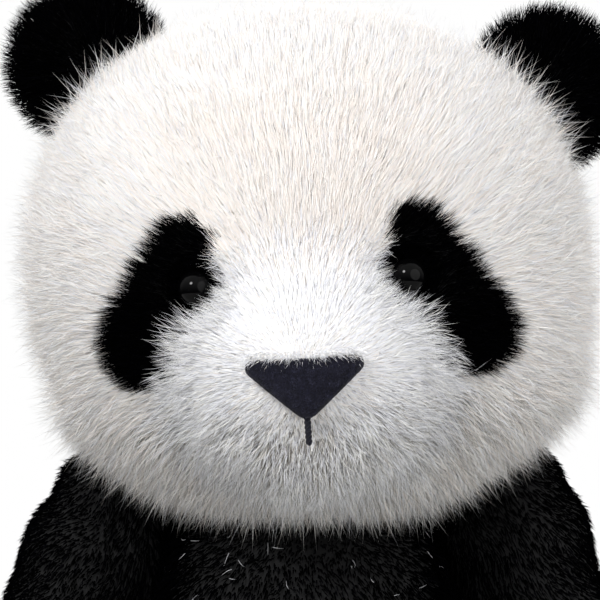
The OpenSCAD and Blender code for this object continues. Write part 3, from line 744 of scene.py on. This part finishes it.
def woven(name, deep, pale, thread_mm):
    material, shader = new_material(name, pale, 0.7, Sheen_Weight=0.1)
    place = add_node(material, "ShaderNodeTexCoord")
    rows = []
    for way in ("X", "Z"):
        rows.append(add_node(material, "ShaderNodeTexWave",
                             {"wave_type": "BANDS", "bands_direction": way, "Distortion": 0.6,
                              "Scale": BANDS_PER_THREAD / (thread_mm * MM)},
                             {"Vector": place.outputs["Object"]}))
    cross = add_node(material, "ShaderNodeMath", {"operation": "MULTIPLY"},
                     {0: rows[0].outputs["Fac"], 1: rows[1].outputs["Fac"]})
    ramp = add_node(material, "ShaderNodeValToRGB", {}, {"Fac": cross.outputs["Value"]})
    ramp.color_ramp.elements[0].color, ramp.color_ramp.elements[1].color = linear(deep), linear(pale)
    bump = add_node(material, "ShaderNodeBump", {"Strength": 0.5, "Distance": 0.15 * MM},
                    {"Height": cross.outputs["Value"]})
    material.node_tree.links.new(ramp.outputs["Color"], shader.inputs["Base Color"])
    material.node_tree.links.new(bump.outputs["Normal"], shader.inputs["Normal"])
    return material


tape = woven("polyester_label_tape", "#e4e2dc", "#fbfaf6", 0.4)


def moulded(name, deep, pale, smoothest, roughest, grain_mm, specular):
    material, shader = new_material(name, pale, roughest, Specular_IOR_Level=specular)
    place = add_node(material, "ShaderNodeTexCoord")
    grain = add_node(material, "ShaderNodeTexNoise", {"Scale": 1 / (grain_mm * MM), "Detail": 3.0},
                     {"Vector": place.outputs["Object"]})
    ramp = add_node(material, "ShaderNodeValToRGB", {}, {"Fac": grain.outputs["Fac"]})
    ramp.color_ramp.elements[0].color, ramp.color_ramp.elements[1].color = linear(deep), linear(pale)
    matt = add_node(material, "ShaderNodeMapRange", {"From Min": 0.3, "From Max": 0.7, "To Min": smoothest,
                                                     "To Max": roughest}, {"Value": grain.outputs["Fac"]})
    material.node_tree.links.new(ramp.outputs["Color"], shader.inputs["Base Color"])
    material.node_tree.links.new(matt.outputs["Result"], shader.inputs["Roughness"])
    return material


gloss = moulded("eye_acrylic", "#010101", "#040405", 0.02, 0.05, 1.2, 0.1)
plastic = moulded("joint_polythene", "#cfccc2", "#dedbd2", 0.35, 0.5, 4, 0.5)

print("small materials:", [m.name for m in (felt, thread, suede, fill, tape, gloss, plastic)])

# %% [markdown]
# ## Crowned pieces and threads
# A pad with a rounded edge is a stack of rings, closed at both ends. A thread is a round tube
# along a path.

# %% Building rings and tubes
def rings_to_mesh(rings):
    n = len(rings[0])
    points = np.vstack(rings + [rings[0].mean(axis=0), rings[-1].mean(axis=0)])
    faces = []
    for k in range(len(rings) - 1):
        for i in range(n):
            a, b = k * n + i, k * n + (i + 1) % n
            faces += [(a, b, b + n), (a, b + n, a + n)]
    first, last = len(points) - 2, len(points) - 1
    faces += [(first, (i + 1) % n, i) for i in range(n)]
    faces += [(last, (len(rings) - 1) * n + i, (len(rings) - 1) * n + (i + 1) % n) for i in range(n)]
    return points, np.array(faces)


def tube(path, radius, sides=8):
    way = unit(np.gradient(path, axis=0))
    side = unit(np.cross(way, (0.31, 0.87, 0.38)))
    other = np.cross(way, side)
    turns = np.arange(sides) * 2 * math.pi / sides
    loops = [path[i] + radius * (np.outer(np.cos(turns), side[i]) + np.outer(np.sin(turns), other[i]))
             for i in range(len(path))]
    return rings_to_mesh(loops)


# %% [markdown]
# ## Paw and sole pads
# The pads are suede cut to a disc, sewn in with the edge turned under, and crowned by the
# filling. The rings are pressed down onto the limb, so that the pad follows it, and a ring of
# running stitches holds the edge.

# %% Paw and sole pads
def part_frame(node, outwards):
    points = np.unique([v.co[:] for v in frame["nodes"][node].data.vertices], axis=0)
    middle = (points.min(axis=0) + points.max(axis=0)) / 2
    thin = np.linalg.eigh(np.cov((points - points.mean(axis=0)).T))[1][:, 0]
    thin = thin * np.sign(thin @ (middle - outwards))
    flat = along(points - middle, np.tile(thin, (len(points), 1)))
    return middle, thin, np.linalg.norm(flat, axis=1).max()


def press_down(tree, middle, thin, across, most_drop):
    top = np.array(tree.ray_cast(Vector(middle + thin * 0.05), Vector(-thin))[0]) @ thin
    for share in np.linspace(1, 0.6, 21):
        hit = tree.ray_cast(Vector(middle + across * share + thin * 0.05), Vector(-thin))[0]
        if hit and np.array(hit) @ thin > top - most_drop:
            return np.array(hit)
    return middle + across * 0.6


def pad_rings(tree, middle, thin, radius, rings, most_drop, count=72):
    side = unit(np.cross(thin, (0.0, 0.2, 1.0)))
    other = np.cross(thin, side)
    turns = np.arange(count) * 2 * math.pi / count
    spokes = radius * (np.outer(np.cos(turns), side) + np.outer(np.sin(turns), other))
    return [np.array([press_down(tree, middle, thin, spoke * scale, most_drop) for spoke in spokes])
            + thin * rise * MM for scale, rise in rings]


pads = [(kind + s, limb + s) for kind, limb in (("paw_pad_", "arm_"), ("sole_pad_", "leg_"))
        for s in ("left", "right")]
STITCH_STEPS = 88
for node, body in pads:
    limb_low, limb_high = corners(body.replace("_", "_outer_"))
    middle, thin, radius = part_frame(node, (limb_low + limb_high) / 2)
    tree, owner = covers_tree([node, body.replace("_", "_outer_"), body.replace("_", "_inner_")])
    profile = [(1.0, -2.2), (1.04, -0.6), (1.02, 0.5), (0.96, 1.3), (0.85, 1.9), (0.65, 2.4),
               (0.4, 2.7), (0.15, 2.8)]
    most_drop = (7 if "paw" in node else 2) * MM
    loops = pad_rings(tree, middle, thin, radius, profile, most_drop)
    pad = mesh_object(node + "_suede", *rings_to_mesh(loops), [suede])
    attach(pad, body)
    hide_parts(node)
    seam = pad_rings(tree, middle, thin, radius, [(0.91, 1.75)], most_drop, STITCH_STEPS)[0]
    points, faces = [], []
    arch = np.sin(np.linspace(0, math.pi, 5)) * 0.4 * MM
    for k in range(0, STITCH_STEPS, 2):
        path = np.linspace(seam[k], seam[(k + 1) % STITCH_STEPS], 5) + np.outer(arch, thin)
        part = tube(path, 0.3 * MM, 6)
        faces.append(part[1] + sum(len(p) for p in points))
        points.append(part[0])
    stitches = mesh_object(node + "_stitches", np.vstack(points), np.vstack(faces), [thread])
    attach(stitches, body)
    print(node, "radius", round(radius, 4))

# %% [markdown]
# ## Sewn label
# A blank tape, folded in two and caught in the closing seam. A slight sway keeps it from looking
# like card.

# %% Sewn label
label_points = np.unique([v.co[:] for v in frame["nodes"]["sewn_label"].data.vertices], axis=0)
label_low, label_high = label_points.min(axis=0), label_points.max(axis=0)
label_axis = np.array([0, torso_mid[1], 0])
label_out = (label_points - label_axis)[:, :2]
label_way = unit(np.append(label_out[np.linalg.norm(label_out, axis=1).argmax()], 0))
label_near, label_far = (label_out @ label_way[:2]).min(), (label_out @ label_way[:2]).max()
label_side = np.cross(label_way, (0, 0, 1))
fold = 0.9 * MM
run = np.linspace(label_near - 1 * MM, label_far - fold, 14)
bend = np.linspace(-math.pi / 2, math.pi / 2, 9)[1:-1]
strip = ([(x, -fold) for x in run] + [(run[-1] + fold * math.cos(b), fold * math.sin(b)) for b in bend]
         + [(x, fold) for x in run[::-1]])
heights = np.linspace(label_low[2], label_high[2], 24)
SWAY, SWAY_TURN = 1.1 * MM, 150
grid = []
for x, t in strip:
    for z in heights:
        sway = SWAY * math.sin((z - heights[0]) * SWAY_TURN) * (x - run[0]) / (run[-1] - run[0])
        grid.append(label_axis + label_way * x + label_side * (t + sway) + np.array([0, 0, z]))
rows = len(heights)
label_faces = []
for i in range(len(strip) - 1):
    for j in range(rows - 1):
        a = i * rows + j
        label_faces += [(a, a + rows, a + 1), (a + 1, a + rows, a + rows + 1)]
tape_sheet = cloth_sheet(np.array(grid), np.array(label_faces), 0.35 * MM)
label = mesh_object("sewn_label_tape", *tape_sheet, [tape])
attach(label, "torso")
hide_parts("sewn_label")
print("label", [round(v / MM, 1) for v in (label_high[2] - label_low[2], run[-1] - run[0])], "mm")

# %% [markdown]
# ## Tail
# A small stuffed ball of white pile, sewn on above the seat.

# %% Tail
low, high = corners("tail")
middle = (low + high) / 2
skin, faces, tree, owner = shrink_onto(["tail"], middle, 4)
under = covers_under(skin, faces, tree, owner)
skin = relax(skin, faces, 2)
cloth_panels(skin, faces, under)
total += simple_coat("tail_pile", "torso", "white_pile", skin, faces,
                     lambda r, f: r[:, 1] > middle[1] - 8 * MM, lambda r: (r - middle) + [0, 0, -0.01],
                     lambda r: np.full(len(r), 10.0), 1.0, 0.3, 61)
print("fibres so far:", total, "triangles")

# %% [markdown]
# ## White fringe over the patches
# White fibres rooted along the inner edge of a patch, and a little inside it, fall across the
# black. The overlap is deepest at the patch's lower end, where the pile from the muzzle is
# combed outwards, and it makes the black look narrower there.

# %% White fringe over the inner edge of each patch
white_points = np.unique(head_faces[~is_patch])
white_tree = KDTree(len(white_points))
for i in white_points:
    white_tree.insert(head_skin[i], int(i))
white_tree.balance()
for s in ("left", "right"):
    close = near(patch_tree[s], head_skin[head_faces].mean(axis=1)) < 8
    roots, up, face = plant(head_skin, head_faces[close], 3.4, pile_dice)
    depth = np.where(is_patch[close][face], near(white_tree, roots), -near(patch_tree[s], roots))
    low = smooth(6, -14, (roots - head_mid) @ face_up / MM)
    away = unit(along(roots - nose_mid, up))
    inward = unit(along(patch_mid[s] - roots, up))
    beside = (away * inward).sum(axis=1) > 0.05
    chance = (0.45 + 0.25 * low) * smooth(2.5 + 7.5 * low, -1.5, depth)
    keep = beside & off_face_trim(roots) & ~by_an_eye(roots) & (pile_dice.random(len(roots)) < chance)
    roots, up, low = roots[keep], up[keep], low[keep]
    nap = unit(face_nap(roots, up) + 0.3 * np.array([0, 0, -1.0]))
    start, end = comb(roots, up, nap, (0.68, 0.4), 0.2, 4, 0.16, pile_dice)
    length = (6.5 + 4 * low) * pile_dice.uniform(0.75, 1.2, len(roots)) * MM
    # The last share is the grey painted-shade tone, for the shade between fibres.
    tone = pick_tones(np.tile([0.4, 0.0, 0.35, 0.0, 0.2, 0.05], (len(roots), 1)), pile_dice)
    total += grow("patch_fringe_" + s, "head", "white_pile", roots, start, end, length,
                  np.full(len(roots), 0.1 * MM), tone, pile_dice)

# %% [markdown]
# ## Pile round the eyes
# A ring of close black fibres leans over each eye's rim and hides the hole that its stem goes
# through, so that only the middle of the dome shows.

# %% Black pile round the eyes
for s in ("left", "right"):
    mine = head_faces[near(patch_tree[s], head_skin[head_faces].mean(axis=1)) < 5]
    roots, up, face = plant(head_skin, mine, 9.0, pile_dice)
    gap = np.linalg.norm(roots - eye_mid[s], axis=1)
    keep = (gap > eye_r * 0.9) & (gap < eye_r + 5.5 * MM)
    roots, up = roots[keep], up[keep]
    nap = unit(along(eye_mid[s] - roots, up))
    start, end = comb(roots, up, nap, (0.85, 0.2), 0.15, 8, 0.12, pile_dice)
    total += grow("eye_rim_pile_" + s, "head", "black_pile", roots, start, end,
                  pile_dice.uniform(5.5, 9.0, len(roots)) * MM, np.full(len(roots), 0.11 * MM),
                  pick_tones(np.tile(black_chances, (len(roots), 1)), pile_dice), pile_dice)

# %% [markdown]
# ## Nose
# The nose is a rounded triangle of navy felt, padded from behind and turned under at its edge.
# Its outline is measured from the design, laid over the muzzle's ball in shrinking rings, and
# fine wool fuzz in small tufts gives the grain.

# %% Outline of the nose
def on_muzzle(u, w, rise):
    radius = muzzle_r + rise
    cu, cw = muzzle_mid @ face_right, muzzle_mid @ face_up
    depth = np.sqrt(np.maximum(radius ** 2 - (u - cu) ** 2 - (w - cw) ** 2, 0))
    return np.outer(u, face_right) + np.outer(w, face_up) + np.outer(muzzle_mid[1] - depth, [0, 1, 0])


def turn(a, b, c):
    return (b[0] - a[0]) * (c[1] - a[1]) - (b[1] - a[1]) * (c[0] - a[0])


def hull(points):
    points = sorted(map(tuple, points))
    def half(points):
        chain = []
        for p in points:
            while len(chain) > 1 and turn(chain[-2], chain[-1], p) <= 0:
                chain.pop()
            chain.append(p)
        return chain[:-1]
    return np.array(half(points) + half(points[::-1]))


def even_loop(points, count):
    closed = np.vstack([points, points[:1]])
    walk = np.concatenate([[0], np.cumsum(np.linalg.norm(np.diff(closed, axis=0), axis=1))])
    at = np.linspace(0, walk[-1], count, endpoint=False)
    return np.column_stack([np.interp(at, walk, closed[:, i]) for i in range(2)])


# %% Nose pad and its fuzz
outline = even_loop(hull(np.column_stack([nose_points @ face_right, nose_points @ face_up])), 120)
centre = outline.mean(axis=0)
nose_rings = []
for scale, rise in ((0.96, -1.5), (1.0, -1.0), (1.01, 1.4), (0.99, 2.2), (0.955, 2.8), (0.88, 3.15),
                    (0.7, 3.4), (0.45, 3.5), (0.2, 3.55)):
    ring = centre + (outline - centre) * scale
    nose_rings.append(on_muzzle(ring[:, 0], ring[:, 1], rise * MM))


nose_piece = mesh_object("nose_felt_pad", *rings_to_mesh(nose_rings), [felt])
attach(nose_piece, "head")
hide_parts("nose")

felt_dice = np.random.default_rng(23)
nose_points_now = np.array([v.co[:] for v in nose_piece.data.vertices])
nose_faces_now = np.array([p.vertices[:] for p in nose_piece.data.polygons])
roots, up, face = plant(nose_points_now, nose_faces_now, 9.0, felt_dice)
outer = (up * unit(roots - muzzle_mid)).sum(axis=1) > 0.2
roots, up = roots[outer], up[outer]
lie = unit(along(felt_dice.normal(size=roots.shape), up))
tone = pick_tones(np.tile([0.3, 0.35, 0.22, 0.13], (len(roots), 1)), felt_dice)
total += grow("nose_felt_fuzz", "head", "nose_felt", roots - up * 0.1 * MM, unit(lie + 0.45 * up),
              unit(lie - 0.35 * up),
              felt_dice.uniform(0.7, 1.6, len(roots)) * MM, np.full(len(roots), 0.045 * MM),
              tone[locks(roots, 9, felt_dice)], felt_dice, rings=2)


# %% [markdown]
# ## Mouth
# One straight stitch of two-ply thread, from the nose's tip downwards.

# %% Mouth thread
low_u = (mouth_points @ face_right).mean()
line = np.linspace(nose_top - nose_h + 1.5 * MM, mouth_end, 40)
plies = []
for ply in (0, math.pi):
    twist = ply + (line - line[0]) / (3.2 * MM) * 2 * math.pi
    path = on_muzzle(low_u + 0.55 * MM * np.cos(twist), line, 0.4 * MM)
    path[:, 1] += 0.55 * MM * np.sin(twist)
    plies.append(tube(path, 0.62 * MM))
points = np.vstack([plies[0][0], plies[1][0]])
faces = np.vstack([plies[0][1], plies[1][1] + len(plies[0][0])])
mouth_piece = mesh_object("mouth_thread", points, faces, [thread])
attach(mouth_piece, "head")
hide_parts("mouth_stitch")

print("mouth", round((line[0] - line[-1]) / MM, 1), "mm long")

# %% [markdown]
# ## Pile over the nose
# The felt is sewn down through the pile, and some fibres spring back over its top edge.

# %% Pile that laps over the nose
lap_dice = np.random.default_rng(17)
along_top = lap_dice.uniform(-0.98, 0.98, 800) * nose_half_w
above = nose_top + lap_dice.uniform(-1.2, 2.0, len(along_top)) * MM
lap_roots = on_muzzle(nose_mid @ face_right + along_top, above, 0.2 * MM)
lap_up = unit(lap_roots - muzzle_mid)
lap_out = np.outer(along_top / nose_half_w, face_right)
lap_start = unit(0.7 * lap_up + 0.1 * face_up + 0.3 * lap_out + 0.2 * lap_dice.normal(size=lap_up.shape))
lap_end = unit(0.35 * lap_up - 1.0 * face_up + 0.6 * lap_out + 0.35 * lap_dice.normal(size=lap_up.shape))
total += grow("nose_lap_pile", "head", "white_pile", lap_roots, lap_start, lap_end,
              lap_dice.uniform(4.0, 6.5, len(along_top)) * MM, np.full(len(along_top), 0.1 * MM),
              pick_tones(white_dye_and_shade_chances(lap_roots), lap_dice), lap_dice)

# %% [markdown]
# ## Shed fibres
# New plush sheds: a few loose white fibres lie on the black chest.

# %% Shed fibres on the dark chest
shed_dice = np.random.default_rng(19)
chest = torso_faces[np.array([n == "yoke_front" for n in torso_under])]
roots, up, face = plant(torso_skin, chest, 0.006, shed_dice)
way = unit(along(shed_dice.normal(size=roots.shape), up))
total += grow("shed_fibres", "torso", "white_pile", roots + up * 3.5 * MM, way,
              unit(way + 0.8 * along(shed_dice.normal(size=roots.shape), up)),
              shed_dice.uniform(2, 6, len(roots)) * MM,
              np.full(len(roots), 0.07 * MM), np.full(len(roots), 4), shed_dice)
print("all fibres:", total, "triangles")

# %% [markdown]
# ## Finishes of the carried-over pieces
# The eyes, the fillings, the pellet bag and the joint parts keep the design's shapes, so they
# only need their materials.

# %% Finishes of the carried-over pieces
finish_of_slot = {"eye_plastic": gloss, "nose_felt": felt, "thread": felt, "suede": suede,
                  "joint_plastic": plastic, "fibre_filling": fill, "pellet_bag": suede, "label_tape": fill}
for node, thing in frame["nodes"].items():
    if slot_of_node[node] in finish_of_slot:
        thing.data.materials.clear()
        thing.data.materials.append(finish_of_slot[slot_of_node[node]])
print("finishes:", sorted(finish_of_slot))

# %% [markdown]
# ## Stage
# A plain pale floor, an even pale room that is brighter above than below, and two soft lamps:
# the key from the upper left, whose small size leaves one clean spark in each eye, and a broad
# fill from the right.

# %% Floor
shape = bmesh.new()
bmesh.ops.create_circle(shape, cap_ends=True, segments=96, radius=0.7)
floor_mesh = bpy.data.meshes.new("floor")
shape.to_mesh(floor_mesh)
shape.free()
floor = bpy.data.objects.new("floor", floor_mesh)
bpy.context.scene.collection.objects.link(floor)
floor_paint, _ = new_material("floor_paint", "#cfcfcd", 0.8)
floor_mesh.materials.append(floor_paint)

# %% Light
world = bpy.data.worlds.new("studio")
bpy.context.scene.world = world
world.use_nodes = True
sky = world.node_tree.nodes["Background"]
direction = add_node(world, "ShaderNodeTexCoord")
height = add_node(world, "ShaderNodeSeparateXYZ", {}, {"Vector": direction.outputs["Generated"]})
glow = add_node(world, "ShaderNodeMapRange",
                {"From Min": -0.25, "From Max": 0.7, "To Min": 0.03, "To Max": 0.97},
                {"Value": height.outputs["Z"]})
world.node_tree.links.new(glow.outputs["Result"], sky.inputs["Strength"])
paper = add_node(world, "ShaderNodeBackground", {"Color": (1, 1, 1, 1), "Strength": 1.0})
sky.inputs["Color"].default_value = (1, 1, 1, 1)
path = add_node(world, "ShaderNodeLightPath")
mix = add_node(world, "ShaderNodeMixShader", {}, {0: path.outputs["Is Camera Ray"],
                                                  1: sky.outputs["Background"],
                                                  2: paper.outputs["Background"]})
world.node_tree.links.new(mix.outputs["Shader"], world.node_tree.nodes["World Output"].inputs["Surface"])


def softbox(name, place, aim, size, power):
    light = bpy.data.lights.new(name, "AREA")
    light.shape, light.size, light.energy = "DISK", size, power
    lamp = bpy.data.objects.new(name, light)
    lamp.location = place
    lamp.rotation_mode = "QUATERNION"
    lamp.rotation_quaternion = (Vector(aim) - Vector(place)).to_track_quat("-Z", "Y")
    bpy.context.scene.collection.objects.link(lamp)

KEY_WATTS, FILL_WATTS = 13.2, 9.5
softbox("key", (-0.6, -1.0, 1.05), head_mid, 0.36, KEY_WATTS)
softbox("fill", (0.9, -0.9, 0.6), head_mid, 1.6, FILL_WATTS)

# %% [markdown]
# ## Camera
# The view is a close portrait, almost level and a little from one side, with a long lens.

# %% Camera
CAMERA_AWAY = 0.9
CAMERA_UP = 4
CAMERA_TURN = 1.2
FRAME_WIDE = 0.218
camera_data = bpy.data.cameras.new("camera")
camera_data.sensor_width = 36
camera_data.lens = 36 * CAMERA_AWAY / FRAME_WIDE
camera = bpy.data.objects.new("camera", camera_data)
tilt, turn = math.radians(CAMERA_UP), math.radians(CAMERA_TURN)
back = Vector((math.sin(turn) * math.cos(tilt), -math.cos(turn) * math.cos(tilt), math.sin(tilt)))
AIM_RIGHT, AIM_UP = -0.0022, -0.0145
aim = Vector(head_mid) + Vector((AIM_RIGHT, 0, AIM_UP))
camera.location = aim + back * CAMERA_AWAY
camera.rotation_mode = "QUATERNION"
camera.rotation_quaternion = (-back).to_track_quat("-Z", "Y")
bpy.context.scene.collection.objects.link(camera)
bpy.context.scene.camera = camera
bpy.context.scene.view_settings.view_transform = "Standard"
